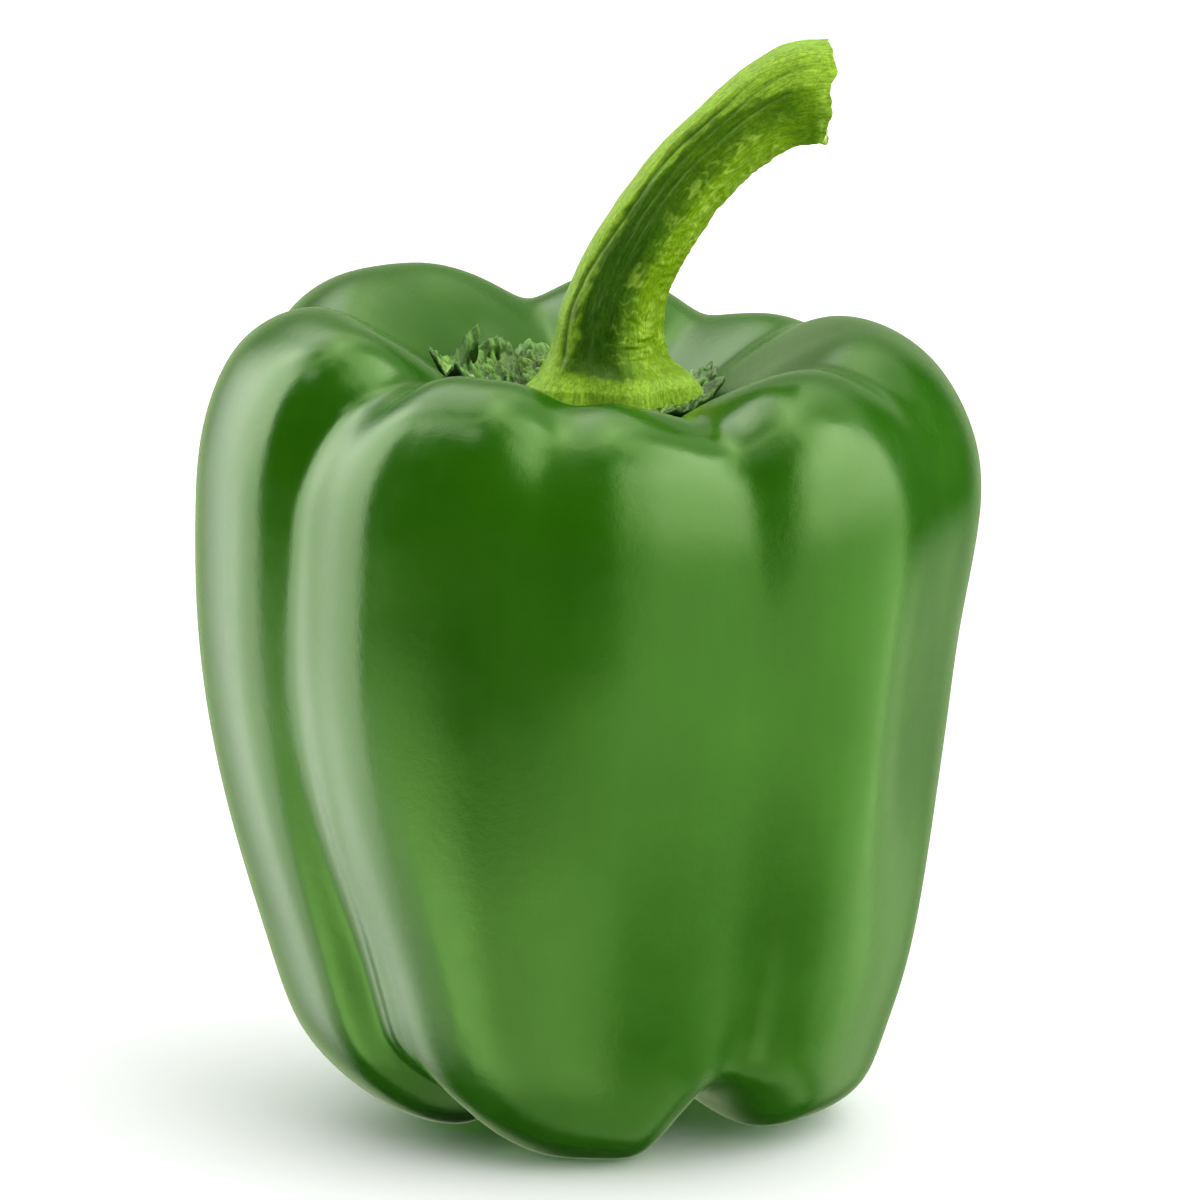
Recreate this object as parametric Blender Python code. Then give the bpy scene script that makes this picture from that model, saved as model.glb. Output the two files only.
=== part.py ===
"""A green bell pepper, standing on its lobes: the fruit, the calyx in its hollow and the bent stem.

Blender 4.5, metres, +Z up. The origin is on the surface that the pepper stands on, under its middle.
Angles run anticlockwise from +X, seen from above, and -Y is the front.
"""

import math
import random

import bmesh
import bpy
import numpy as np
from mathutils import Matrix

MM = 0.001

# Driving dimensions
REACH = 42.0 * MM  # from the axis to the widest part of a typical side
SHOULDER = 86.0 * MM  # from the ground to the top of a typical lobe
GAP = 0.3 * MM  # between two pieces that touch
FRUIT_SEGMENTS = 96
FRUIT_RINGS = 48

# A meridian from the blossom end to the stem hollow, along the crest of a lobe and along the deepest
# groove: crest radius and height, groove radius and height. Radii are in shares of REACH, heights of
# SHOULDER. A height below the ground is cut off there, which gives each low lobe its flat spot.
MERIDIAN = (
    (0.00, 0.085, 0.00, 0.085),
    (0.20, 0.060, 0.13, 0.080),
    (0.37, 0.010, 0.25, 0.068),
    (0.52, -0.006, 0.37, 0.058),
    (0.67, 0.035, 0.49, 0.070),
    (0.77, 0.125, 0.59, 0.145),
    (0.855, 0.265, 0.67, 0.290),
    (0.93, 0.420, 0.74, 0.440),
    (0.98, 0.580, 0.79, 0.590),
    (1.00, 0.730, 0.82, 0.720),
    (0.985, 0.860, 0.80, 0.820),
    (0.89, 0.960, 0.72, 0.885),
    (0.71, 1.000, 0.60, 0.905),
    (0.52, 0.970, 0.46, 0.900),
    (0.34, 0.918, 0.31, 0.888),
    (0.17, 0.890, 0.16, 0.883),
    (0.00, 0.885, 0.00, 0.885),
)
# The places along a meridian where the tables below give their values: foot, lower side, side, shoulder
# and crest.
LEVELS = (0.18, 0.33, 0.50, 0.60, 0.73)
# A lobe's own height starts at this place on its side, upwards for its top and downwards for its foot,
# and it ends in the hollow and at the blossom end. The lengths are those over which it grows.
SIDE = 0.45
HOLLOW = 0.94
TOP_LENGTH = 0.30
HOLLOW_LENGTH = 0.18
FOOT_LENGTH = 0.25
BLOSSOM_LENGTH = 0.15

# Each lobe: the angle of its middle, its reach at those five levels in shares of REACH, and the height
# of its top and of its foot above those of a typical lobe.
LOBES = (
    (9, (1.02, 0.95, 0.96, 1.01, 0.96), 0.8 * MM, 0.0 * MM),
    (47, (1.02, 0.99, 0.97, 0.98, 0.95), -1.0 * MM, -0.8 * MM),
    (92, (0.98, 0.98, 0.98, 0.98, 1.00), 2.6 * MM, 0.8 * MM),
    (137, (1.00, 0.99, 0.98, 1.00, 1.06), 4.0 * MM, 0.0 * MM),
    (193, (0.79, 1.03, 1.05, 1.04, 1.04), 4.2 * MM, 0.0 * MM),
    (248, (0.95, 1.00, 0.99, 0.97, 0.96), -0.3 * MM, 0.0 * MM),
    (282, (0.98, 0.98, 0.98, 0.96, 0.93), -2.8 * MM, 0.0 * MM),
    (311, (1.06, 1.03, 1.03, 1.035, 0.97), -1.0 * MM, 1.8 * MM),
    (338, (1.14, 1.035, 0.935, 0.98, 0.97), 0.1 * MM, 2.1 * MM),
)

# Each groove: its angle and its depth at the five levels, where depth 1 is the deepest groove of
# MERIDIAN, and the half width over which the lobes rise out of it, in degrees.
GROOVES = (
    ((338, 338, 338, 336, 336), (0.00, 0.00, 0.00, 0.04, 0.32), 20),
    ((388, 389, 390, 394, 396), (0.25, 0.15, 0.10, 0.15, 0.20), 16),
    ((424, 425, 426, 426, 426), (0.80, 0.50, 0.35, 0.30, 0.40), 24),
    ((465, 465, 465, 465, 465), (0.60, 0.45, 0.35, 0.50, 0.60), 24),
    ((167, 168, 168, 168, 168), (0.90, 0.70, 0.50, 0.55, 0.60), 28),
    ((234, 227, 222, 222, 226), (0.90, 0.60, 0.46, 0.52, 0.60), 16),
    ((232, 232, 232, 232, 232), (0.80, 0.10, 0.00, 0.00, 0.00), 32),
    ((262, 262, 262, 262, 264), (0.00, 0.00, 0.00, 0.10, 0.25), 14),
    ((300, 299, 298, 296, 296), (1.70, 0.60, 0.35, 0.45, 0.50), 22),
)
GROOVE_ROUNDING = 0.12  # of a groove's half width

# The calyx lies in the hollow. Its rim has irregular teeth that turn up.
CALYX_MIDDLE = (-1.8 * MM, 0.0)
CALYX_REACH = 14.8 * MM
CALYX_THICKNESS = 1.2 * MM
CALYX_EDGE = 0.7 * MM  # thickness at the rim
CALYX_SEGMENTS = 96
CALYX_RINGS = 11
CALYX_TEETH = 11
TOOTH_LENGTH = 2.0 * MM
TOOTH_LIFT = 1.1 * MM
TOOTH_SPREAD = 0.22  # of the pitch, either way
TOOTH_WIDTHS = (0.32, 0.48)  # half widths, in shares of the pitch
TOOTH_LENGTHS = (0.45, 1.0)  # in shares of TOOTH_LENGTH
TOOTH_START = 0.80  # the share of the way to the rim at which a tooth starts to turn up
EDGE_START = 0.67  # and at which the calyx starts to thin
CALYX_RELIEF = 0.45 * MM
RELIEF_PITCH = 3.0 * MM
RELIEF_START = 10.0 * MM  # from the stem's middle, clear of its foot
RELIEF_GROWTH = 1.5 * MM
CALYX_SEED = 12

# The stem's sections from its foot to its cut end: x and z of the middle, half width, and the lean of the
# section's normal from the vertical towards +X, in degrees.
STEM_SECTIONS = (
    (1.9 * MM, 80.3 * MM, 8.9 * MM, 0),
    (1.8 * MM, 82.0 * MM, 8.0 * MM, 2),
    (1.5 * MM, 84.4 * MM, 6.5 * MM, 6),
    (1.8 * MM, 87.7 * MM, 5.9 * MM, 12),
    (2.8 * MM, 91.4 * MM, 5.4 * MM, 20),
    (4.7 * MM, 95.3 * MM, 5.1 * MM, 28),
    (7.3 * MM, 99.4 * MM, 4.9 * MM, 34),
    (10.5 * MM, 103.6 * MM, 4.8 * MM, 41),
    (14.3 * MM, 107.3 * MM, 4.8 * MM, 49),
    (18.2 * MM, 110.5 * MM, 5.1 * MM, 60),
    (21.7 * MM, 112.1 * MM, 5.7 * MM, 74),
    (24.9 * MM, 112.5 * MM, 5.7 * MM, 90),
)
STEM_SEGMENTS = 40
STEM_RINGS = 34
STEM_RIDGES = 5
FIRST_RIDGE = 213  # degrees round the stem, where 270 faces the front
RIDGE_HEIGHT = 0.045  # of the half width
FLARE_RIDGE_HEIGHT = 0.10  # at the foot
FLARE_LENGTH = 0.25  # of the stem
UNDER_RINGS = (0.3, 0.6, 0.85, 1.0)  # under the foot, in shares of its half width
CUT_RINGS = (0.85, 0.55, 0.25)  # in the cut end
CUT_START = 0.80  # the share of the stem's length at which its side starts to follow the cut's line
CUT_ROUGHNESS = 0.5 * MM
CUT_HOLLOW = 0.8 * MM

# Materials: base colour, roughness
LOOKS = {
    "fruit": ((0.030, 0.160, 0.006), 0.30),
    "calyx": ((0.060, 0.150, 0.025), 0.80),
    "stem": ((0.230, 0.400, 0.035), 0.55),
}


def smooth_path(rows, at):
    """Values on a Catmull-Rom curve through evenly spaced rows, for each share of its length in at."""
    rows = np.asarray(rows, float)
    rows = np.vstack([2 * rows[0] - rows[1], rows, 2 * rows[-1] - rows[-2]])
    spans = len(rows) - 3
    place = np.clip(np.asarray(at), 0.0, 1.0) * spans
    start = np.minimum(place.astype(int), spans - 1)
    u = (place - start)[..., None]
    a, b, c, d = (rows[start + i] for i in range(4))
    return 0.5 * (2 * b + (c - a) * u + (2 * a - 5 * b + 4 * c - d) * u**2 + (3 * b - a - 3 * c + d) * u**3)


def eased(share):
    share = np.clip(share, 0.0, 1.0)
    return share * share * (3 - 2 * share)


def by_level(values, along):
    """Values at the levels, eased from one to the next along a meridian."""
    found = values[0]
    for low, high, start, end in zip(LEVELS, LEVELS[1:], values, values[1:]):
        found = found + (end - start) * eased((along - low) / (high - low))
    return found


def around(angle, values):
    """One value for each lobe, eased from the middle of a lobe to the middle of the next."""
    middles = np.array([lobe[0] for lobe in LOBES] + [LOBES[0][0] + 360], float)
    values = np.array(list(values) + [values[0]], float)
    angle = np.mod(angle - middles[0], 360) + middles[0]
    i = np.clip(np.searchsorted(middles, angle, side="right") - 1, 0, len(LOBES) - 1)
    share = eased((angle - middles[i]) / (middles[i + 1] - middles[i]))
    return values[i] + (values[i + 1] - values[i]) * share


def groove_share(angle, along):
    """How far the surface lies from the crest's meridian (0) to the groove's (1)."""
    share = np.zeros(np.broadcast(angle, along).shape)
    for angles, depths, half_width in GROOVES:
        away = np.mod(angle - by_level(angles, along) + 180, 360) - 180
        away = np.sqrt((away / half_width) ** 2 + GROOVE_ROUNDING**2)
        share = share + by_level(depths, along) * np.clip(1 - away, 0, None) ** 2
    return share


def fruit_point(angle, along):
    """Points of the fruit's skin, for angles in degrees and shares of the way along a meridian."""
    crest_r, crest_z, groove_r, groove_z = np.moveaxis(smooth_path(MERIDIAN, along), -1, 0)
    reaches = [around(angle, [lobe[1][level] for lobe in LOBES]) for level in range(len(LEVELS))]
    reach = by_level(reaches, along) * REACH
    top = around(angle, [lobe[2] for lobe in LOBES])
    top = top * eased((along - SIDE) / TOP_LENGTH) * eased((HOLLOW - along) / HOLLOW_LENGTH)
    foot = around(angle, [lobe[3] for lobe in LOBES])
    foot = foot * eased((SIDE - along) / FOOT_LENGTH) * eased(along / BLOSSOM_LENGTH)
    share = groove_share(angle, along)
    radius = reach * (crest_r + (groove_r - crest_r) * share)
    height = SHOULDER * (crest_z + (groove_z - crest_z) * share) + top + foot
    turn = np.radians(angle)
    return np.stack([radius * np.cos(turn), radius * np.sin(turn), np.maximum(height, 0)], axis=-1)


def hollow_height(x, y):
    """Height of the skin in the stem hollow."""
    angle = math.degrees(math.atan2(y, x))
    along = np.linspace(1.0, LEVELS[-1], 80)
    points = fruit_point(angle, along)
    return float(np.interp(math.hypot(x, y), np.hypot(points[:, 0], points[:, 1]), points[:, 2]))


def calyx_teeth():
    """The angle in degrees, the half width in degrees and the length of each tooth, in shares."""
    rng = random.Random(CALYX_SEED)
    pitch = 360 / CALYX_TEETH
    teeth = []
    for i in range(CALYX_TEETH):
        middle = pitch * (i + rng.uniform(-TOOTH_SPREAD, TOOTH_SPREAD))
        teeth.append((middle, pitch * rng.uniform(*TOOTH_WIDTHS), rng.uniform(*TOOTH_LENGTHS)))
    return teeth


TEETH = calyx_teeth()


def tooth_share(angle):
    """How far the rim reaches out at this angle, from 0 between two teeth to 1 at a long tooth's tip."""
    found = 0.0
    for middle, half_width, length in TEETH:
        away = abs((angle - middle + 180) % 360 - 180) / half_width
        found = max(found, length * (1 - min(away, 1.0) ** 1.6))
    return found


def relief(x, y):
    """Crinkles of the calyx, from 0 to 1."""
    turn = 2 * math.pi / RELIEF_PITCH
    along_x = math.sin(turn * x + 2 * math.sin(0.7 * turn * y))
    along_y = math.sin(turn * y + 2 * math.cos(0.6 * turn * x))
    return 0.5 + 0.5 * along_x * along_y


def calyx_point(angle, share, top):
    """A point of the calyx, this share of the way from its middle to its rim."""
    tooth = tooth_share(angle)
    reach = CALYX_REACH + TOOTH_LENGTH * tooth
    turn = math.radians(angle)
    x = CALYX_MIDDLE[0] + share * reach * math.cos(turn)
    y = CALYX_MIDDLE[1] + share * reach * math.sin(turn)
    return x, y, calyx_height(x, y, share, tooth, top)


def calyx_height(x, y, share, tooth, top):
    lift = TOOTH_LIFT * tooth * max(0.0, (share - TOOTH_START) / (1 - TOOTH_START)) ** 1.5
    height = hollow_height(x, y) + GAP + lift
    if not top:
        return height
    edge = eased((share - EDGE_START) / (1 - EDGE_START))
    thickness = CALYX_THICKNESS + (CALYX_EDGE - CALYX_THICKNESS) * edge
    clear = eased((math.hypot(x - STEM_SECTIONS[0][0], y) - RELIEF_START) / RELIEF_GROWTH)
    return height + thickness + CALYX_RELIEF * relief(x, y) * clear


def calyx_top(x, y):
    """Height of the calyx under the stem, where it has neither relief nor teeth."""
    return hollow_height(x, y) + GAP + CALYX_THICKNESS


def stem_section(share):
    """The middle, half width and lean of the stem's section, and how far it is a part of the flare."""
    x, z, half, lean = smooth_path(STEM_SECTIONS, share)
    flare = float(1 - eased(share / FLARE_LENGTH))
    return x, z, half, math.radians(lean), flare


def stem_point(angle, share, inward=1.0, outward=0.0):
    """A point of the stem's side, or of a section: inward scales it, outward moves it along the stem."""
    x, z, half, lean, flare = stem_section(share)
    ridge = RIDGE_HEIGHT + (FLARE_RIDGE_HEIGHT - RIDGE_HEIGHT) * flare
    radius = inward * half * (1 + ridge * math.cos(math.radians(STEM_RIDGES * (angle - FIRST_RIDGE))))
    across = radius * math.cos(math.radians(angle))
    deep = radius * math.sin(math.radians(angle))
    near_cut = float(eased((share - CUT_START) / (1 - CUT_START)))
    rough = outward + cut_offset(angle) * inward**2 * near_cut
    return (
        x + across * math.cos(lean) + rough * math.sin(lean),
        deep,
        z - across * math.sin(lean) + rough * math.cos(lean),
    )


def cut_offset(angle):
    """The ragged line of the cut end."""
    turn = math.radians(angle)
    waves = math.sin(2 * turn + 0.6) + 0.6 * math.sin(5 * turn) + 0.4 * math.sin(9 * turn + 1)
    return CUT_ROUGHNESS * waves


def closed_solid(name, rings, first_pole, last_pole):
    """A solid from rings of points and the poles that close its two ends."""
    shape = bmesh.new()
    loops = [[shape.verts.new(point) for point in ring] for ring in rings]
    for low, high in zip(loops, loops[1:]):
        for i in range(len(low)):
            j = (i + 1) % len(low)
            shape.faces.new((low[i], low[j], high[j], high[i]))
    for pole, loop in ((first_pole, loops[0]), (last_pole, loops[-1])):
        tip = shape.verts.new(pole)
        for i in range(len(loop)):
            j = (i + 1) % len(loop)
            shape.faces.new((tip, loop[j], loop[i]) if loop is loops[0] else (tip, loop[i], loop[j]))
    bmesh.ops.recalc_face_normals(shape, faces=shape.faces)
    return as_object(name, shape)


def as_object(name, shape):
    mesh = bpy.data.meshes.new(name)
    shape.to_mesh(mesh)
    shape.free()
    mesh.shade_smooth()
    return bpy.data.objects.new(name, mesh)


def fruit():
    """A sphere whose points are moved to the skin."""
    shape = bmesh.new()
    bmesh.ops.create_uvsphere(shape, u_segments=FRUIT_SEGMENTS, v_segments=FRUIT_RINGS, radius=1)
    for vertex in shape.verts:
        x, y, z = vertex.co
        along = 0.5 + math.asin(max(-1, min(1, z))) / math.pi
        vertex.co = fruit_point(np.array(math.degrees(math.atan2(y, x))), np.array(along))
    return as_object("fruit", shape)


def calyx():
    """A thin dish that follows the hollow, from the middle of its underside over the rim to its top."""
    angles = [360 * i / CALYX_SEGMENTS for i in range(CALYX_SEGMENTS)]
    shares = [(i + 1) / CALYX_RINGS for i in range(CALYX_RINGS)]
    below = [[calyx_point(angle, share, False) for angle in angles] for share in shares]
    above = [[calyx_point(angle, share, True) for angle in angles] for share in reversed(shares)]
    middle = CALYX_MIDDLE
    first = (*middle, calyx_height(*middle, 0, 0, False))
    last = (*middle, calyx_height(*middle, 0, 0, True))
    return closed_solid("calyx", below + above, first, last)


def stem():
    """Sections along a bent line, between an underside that follows the calyx and a hollowed cut end."""
    angles = [360 * i / STEM_SEGMENTS for i in range(STEM_SEGMENTS)]
    sides = [[stem_point(angle, i / STEM_RINGS) for angle in angles] for i in range(STEM_RINGS + 1)]
    middle = STEM_SECTIONS[0][0]
    under = []
    for share in UNDER_RINGS:
        ring = [(middle + share * (x - middle), share * y) for x, y, _ in sides[0]]
        under.append([(x, y, calyx_top(x, y) + GAP) for x, y in ring])
    cut = []
    for inward in CUT_RINGS:
        sunk = -CUT_HOLLOW * (1 - inward)
        cut.append([stem_point(angle, 1.0, inward, sunk) for angle in angles])
    x, z, _, lean, _ = stem_section(1.0)
    first = (middle, 0, calyx_top(middle, 0) + GAP)
    last = (x - CUT_HOLLOW * math.sin(lean), 0, z - CUT_HOLLOW * math.cos(lean))
    return closed_solid("stem", under + sides[1:] + cut, first, last)


def material(name):
    colour, roughness = LOOKS[name]
    made = bpy.data.materials.new(name)
    made.use_nodes = True
    shader = made.node_tree.nodes["Principled BSDF"]
    shader.inputs["Base Color"].default_value = (*colour, 1)
    shader.inputs["Roughness"].default_value = roughness
    shader.inputs["Metallic"].default_value = 0
    return made


def centre(objects):
    """Moves the pepper so that the middle of its box is over the origin."""
    corners = np.array([vertex.co for obj in objects for vertex in obj.data.vertices])
    middle = (corners.min(axis=0) + corners.max(axis=0)) / 2
    for obj in objects:
        obj.data.transform(Matrix.Translation((-middle[0], -middle[1], 0)))


def build():
    for obj in list(bpy.data.objects):
        bpy.data.objects.remove(obj)
    pepper = bpy.data.collections.new("bell_pepper")
    bpy.context.scene.collection.children.link(pepper)
    objects = [fruit(), calyx(), stem()]
    centre(objects)
    for obj in objects:
        obj.data.materials.append(material(obj.name))
        pepper.objects.link(obj)


build()
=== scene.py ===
"""The green bell pepper of the photograph: skin, calyx and stem, on a pale floor in a light tent.

Lengths are in metres, +Z is up and the camera looks along +Y. Every piece takes its form from a node of the
frame, is split finer and gets its own relief.
"""

import math

import bmesh
import bpy
import numpy as np
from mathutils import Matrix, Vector, noise
from mathutils.bvhtree import BVHTree


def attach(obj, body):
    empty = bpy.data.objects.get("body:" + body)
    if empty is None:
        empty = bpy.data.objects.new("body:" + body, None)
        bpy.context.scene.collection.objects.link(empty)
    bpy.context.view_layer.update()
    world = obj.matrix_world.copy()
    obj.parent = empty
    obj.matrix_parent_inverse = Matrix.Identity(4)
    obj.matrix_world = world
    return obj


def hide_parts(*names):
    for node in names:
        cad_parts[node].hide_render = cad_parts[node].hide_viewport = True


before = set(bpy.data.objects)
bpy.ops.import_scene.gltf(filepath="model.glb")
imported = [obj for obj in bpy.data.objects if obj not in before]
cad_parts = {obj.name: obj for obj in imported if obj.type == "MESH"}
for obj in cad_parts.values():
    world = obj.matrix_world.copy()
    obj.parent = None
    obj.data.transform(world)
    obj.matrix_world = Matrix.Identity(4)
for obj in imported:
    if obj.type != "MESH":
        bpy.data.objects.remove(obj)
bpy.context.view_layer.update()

MM = 0.001
WELD = 0.002 * MM  # corners closer than this are one corner
ABOVE = 150 * MM  # a height over the whole pepper
DOWN = Vector((0, 0, -1))

# Camera
CAMERA_ELEVATION = 12.0
CAMERA_DISTANCE = 0.8
CAMERA_TARGET = Vector((1.1, 0.0, 56.6)) * MM
CAMERA_LENS = 220.8
CAMERA_SENSOR = 36

# What the waxy skin mirrors: soft panels of a light tent. For each: the azimuths of its two sides and how
# soft each side is, the elevations of its lower and upper end and how soft each end is, all in degrees, then
# its brightness and its colour. Azimuths run anticlockwise from +X.
WHITE = (0.97, 1.0, 0.92)
WARM = (1.0, 0.92, 0.85)
LEAF_TINT = (0.66, 1.0, 0.42)
GRASS_TINT = (0.82, 1.0, 0.58)
PANELS = (
    ((140, 198), (42, 8), (-38, 62), (34, 26), 5.2, WHITE),  # on the left
    ((104, 130), (24, 24), (-50, 24), (14, 30), 0.7, GRASS_TINT),
    ((136, 200), (30, 10), (8, 58), (36, 26), 2.3, WHITE),
    ((100, 150), (28, 24), (40, 64), (28, 28), 4.0, WHITE),
    ((204, 230), (12, 10), (57, 70), (12, 14), 3.6, WHITE),
    ((282, 388), (14, 8), (-38, 70), (30, 26), 2.5, LEAF_TINT),  # on the right
    ((290, 388), (26, 8), (14, 64), (34, 26), 3.0, WARM),
    ((312, 388), (36, 8), (46, 62), (34, 26), 2.6, WHITE),
    ((24, 54), (6, 30), (-45, -13), (14, 10), 1.35, GRASS_TINT),
    ((264, 283), (36, 14), (-60, -12), (10, 16), 2.3, LEAF_TINT),
    ((202, 268), (6, 30), (-60, -33), (16, 20), 2.2, LEAF_TINT),  # the floor in front
    ((200, 226), (6, 14), (-56, -28), (16, 12), 1.4, LEAF_TINT),
    ((198, 398), (10, 20), (-99, -52), (1, 18), 1.2, LEAF_TINT),
    ((200, 221), (6, 16), (-46, -11), (20, 16), 2.2, LEAF_TINT),
    ((232, 262), (24, 24), (-50, -20), (14, 16), 0.8, LEAF_TINT),
    ((62, 108), (14, 30), (-34, 90), (20, 30), 0.5, GRASS_TINT),  # behind
    ((60, 100), (30, 20), (44, 80), (30, 30), 2.4, GRASS_TINT),
    ((26, 62), (14, 20), (36, 66), (14, 20), 0.9, GRASS_TINT),
    ((-40, 200), (20, 20), (68, 120), (26, 1), 4.0, GRASS_TINT),  # above
    ((220, 300), (20, 20), (80, 120), (24, 1), 3.6, GRASS_TINT),
    ((138, 170), (16, 16), (68, 78), (10, 10), -3.0, GRASS_TINT),  # a dark card in it
)
MIRRORED_BASE = 0.03
# The even light that falls on everything, less a dark gap at the front left, and more from the right.
EVEN = (1.0, 1.0, 1.0)
EVEN_PANELS = (
    ((190, 292), (40, 40), (-99, 60), (1, 40), -1.6, EVEN),
    ((288, 380), (40, 60), (-20, 70), (30, 30), 1.1, EVEN),
)
EVEN_BASE = 1.65

# The two grooves that the photograph shows from the front. The solid has them a little sharper, so the skin
# takes them out and puts them back as they are seen. For each: its angle in degrees and its depth in
# millimetres at each of the groove heights and its half width in degrees, all as in the solid; the rounding
# with which it is taken out, a little over the solid's 0.12 because that leaves a softer line; then the
# angles seen, the half widths seen towards smaller and towards larger angles, the rounding seen and the
# share of the depth that is put back.
AXIS = (0.457, -0.045)  # x and y of the fruit's middle, in millimetres
GROOVE_HEIGHTS = (3, 14, 50, 70, 85)
GROOVES = (
    {
        "angles": (234, 227, 222, 222, 226),
        "depths": (6.9, 4.6, 3.5, 4.0, 4.6),
        "half_width": 16,
        "rounding": 0.14,
        "seen_angles": (232, 224, 219, 220, 223),
        "seen_half_widths": (12.5, 17),
        "seen_rounding": 0.34,
        "seen_share": 1.15,
    },
    {
        "angles": (300, 299, 298, 296, 296),
        "depths": (9.0, 4.6, 2.7, 3.5, 3.8),
        "half_width": 22,
        "rounding": 0.14,
        "seen_angles": (300, 299, 297.5, 294.5, 295),
        "seen_half_widths": (17, 13),
        "seen_rounding": 0.28,
        "seen_share": 0.85,
    },
)
GROOVE_MARGIN = 6  # degrees past the half width where a groove is still looked at
GROOVE_RADII = (22, 28)  # the change starts at the first and is full from the second
GROOVE_SPAN = (8, 86)  # the heights between which the grooves change
GROOVE_SPAN_SOFT = 8
# The flank on the right that is filled: the heights and the angles looked at, each from, to and step; the
# heights between which it is filled and how softly that begins and ends; the radius from which on it is
# filled; and how much of the hollow is filled.
FLANK_HEIGHTS = (8, 66, 2.0)
FLANK_ANGLES = (304, 384, 2.0)
FLANK_SPAN = (16, 54, 9)
FLANK_RADIUS = 24
FLANK_FILL = 0.9

# The stem as the solids have it, from its foot to its cut end: x and z of the middle, half width, and the
# lean of the section from the vertical towards +X, in degrees.
STEM_SECTIONS = (
    (2.36, 80.3, 8.9, 0),
    (2.26, 82.0, 8.0, 2),
    (1.96, 84.4, 6.5, 6),
    (2.26, 87.7, 5.9, 12),
    (3.26, 91.4, 5.4, 20),
    (5.16, 95.3, 5.1, 28),
    (7.76, 99.4, 4.9, 34),
    (10.96, 103.6, 4.8, 41),
    (14.76, 107.3, 4.8, 49),
    (18.66, 110.5, 5.1, 60),
    (22.16, 112.1, 5.7, 74),
    (25.36, 112.5, 5.7, 90),
)
STEM_Y = -0.045
STEM_LOOKS = ("dark", "inner", "pale", "cut", "crease_shade", "mark")
CALYX_LOOKS = ("crest", "rib", "tip")
STEM_SEGMENTS = 220
STEM_RINGS = 280
FOOT_SHARE = 1 / 34  # of the stem, below which its side comes down to the calyx
UNDER_RINGS = (0.3, 0.6, 0.85)
CUT_RINGS = 22
FIRST_RIDGE = 213
RIDGE_HEIGHT = 0.045
FLARE_RIDGE_HEIGHT = 0.10
FLARE_LENGTH = 0.25
FOOT_LOBE_END = 0.11
CUT_START = 0.80
CUT_ROUGHNESS = 0.5
CUT_HOLLOW = 0.8
# Thin creases along the stem: angle at their lower and upper end, the shares at which they start and end,
# depth in millimetres and half width in degrees.
CREASES = (
    (221, 226, 0.13, 0.80, 0.22, 3.0),
    (243, 238, 0.50, 0.93, 0.14, 3.0),
    (256, 262, 0.55, 0.90, 0.10, 2.6),
    (268, 252, 0.20, 0.62, 0.07, 2.6),
    (289, 284, 0.10, 0.70, 0.10, 3.6),
    (150, 146, 0.10, 0.90, 0.18, 3.0),
    (104, 110, 0.12, 0.85, 0.16, 3.0),
    (72, 70, 0.20, 0.95, 0.12, 3.0),
    (30, 36, 0.08, 0.75, 0.16, 3.0),
)

# The calyx, in millimetres and degrees, as the solid has it: its middle, its reach and its thickness. It
# lies on the skin of the hollow.
CALYX_MIDDLE = (-1.34, -0.045)
CALYX_REACH = 14.8
CALYX_THICKNESS = 1.2
CALYX_EDGE = 0.5
CALYX_GAP = 0.3
CALYX_SEGMENTS = 460
CALYX_RINGS = 100
CALYX_UNDER_RINGS = 12
CALYX_CLEAR = (9.0, 11.5)  # from the stem's middle, where the crinkles start and where they are full
# Its torn tips: angle, half width, how far each reaches past the rim, how high it curls up and how far
# the curl pulls it back.
TIPS = (
    (184, 10, 1.6, 1.5, 0.4),
    (161, 13, 0.8, 5.6, 3.2),
    (136, 17, 0.2, 3.8, 2.6),
    (108, 12, 0.8, 1.2, 0.6),
    (80, 14, 0.6, 0.8, 0.4),
    (52, 12, 1.0, 0.7, 0.4),
    (22, 11, 1.9, 1.5, 0.6),
    (3, 9, 1.2, 0.8, 0.3),
    (339, 12, 0.8, 0.9, 0.6),
    (305, 14, 1.0, 0.6, 0.2),
    (272, 12, 0.9, 0.8, 0.3),
    (238, 12, 1.2, 1.2, 0.5),
    (208, 11, 0.9, 1.6, 0.8),
)

# Ribs that run on from the stem's ridges over the calyx: angle, height, width and length.
RIBS = (
    (180, 1.0, 1.0, 4.5),
    (213, 1.6, 1.8, 3.0),
    (238, 1.0, 1.2, 2.6),
    (285, 0.8, 1.0, 2.5),
    (352, 1.0, 1.1, 3.0),
    (69, 1.0, 1.1, 3.6),
    (135, 1.0, 1.0, 4.4),
)
# Lobes of the stem's foot: angle, half width in degrees and reach.
FOOT_LOBES = (
    (190, 20, 1.7),
    (232, 17, 1.2),
    (343, 16, 0.8),
    (70, 22, 1.0),
    (130, 16, 0.8),
)


# Noises on the stem: how fast each changes round it and along it, and where along it starts.
WANDER = (1.3, 5, 0)
FIBRES = (5.5, 7, 20)
THIN_FIBRES = (16, 22, 40)
LUMPS = (2.6, 22, 9)
MARKS = (2.2, 62, 0)
COLLAR_LUMPS = (4, 30, 0)
BLOTCHES = (3, 12, 0)
SPECKS = (9, 40, 0)
MARK_WANDER = 3  # how far the marks follow the wander
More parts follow.
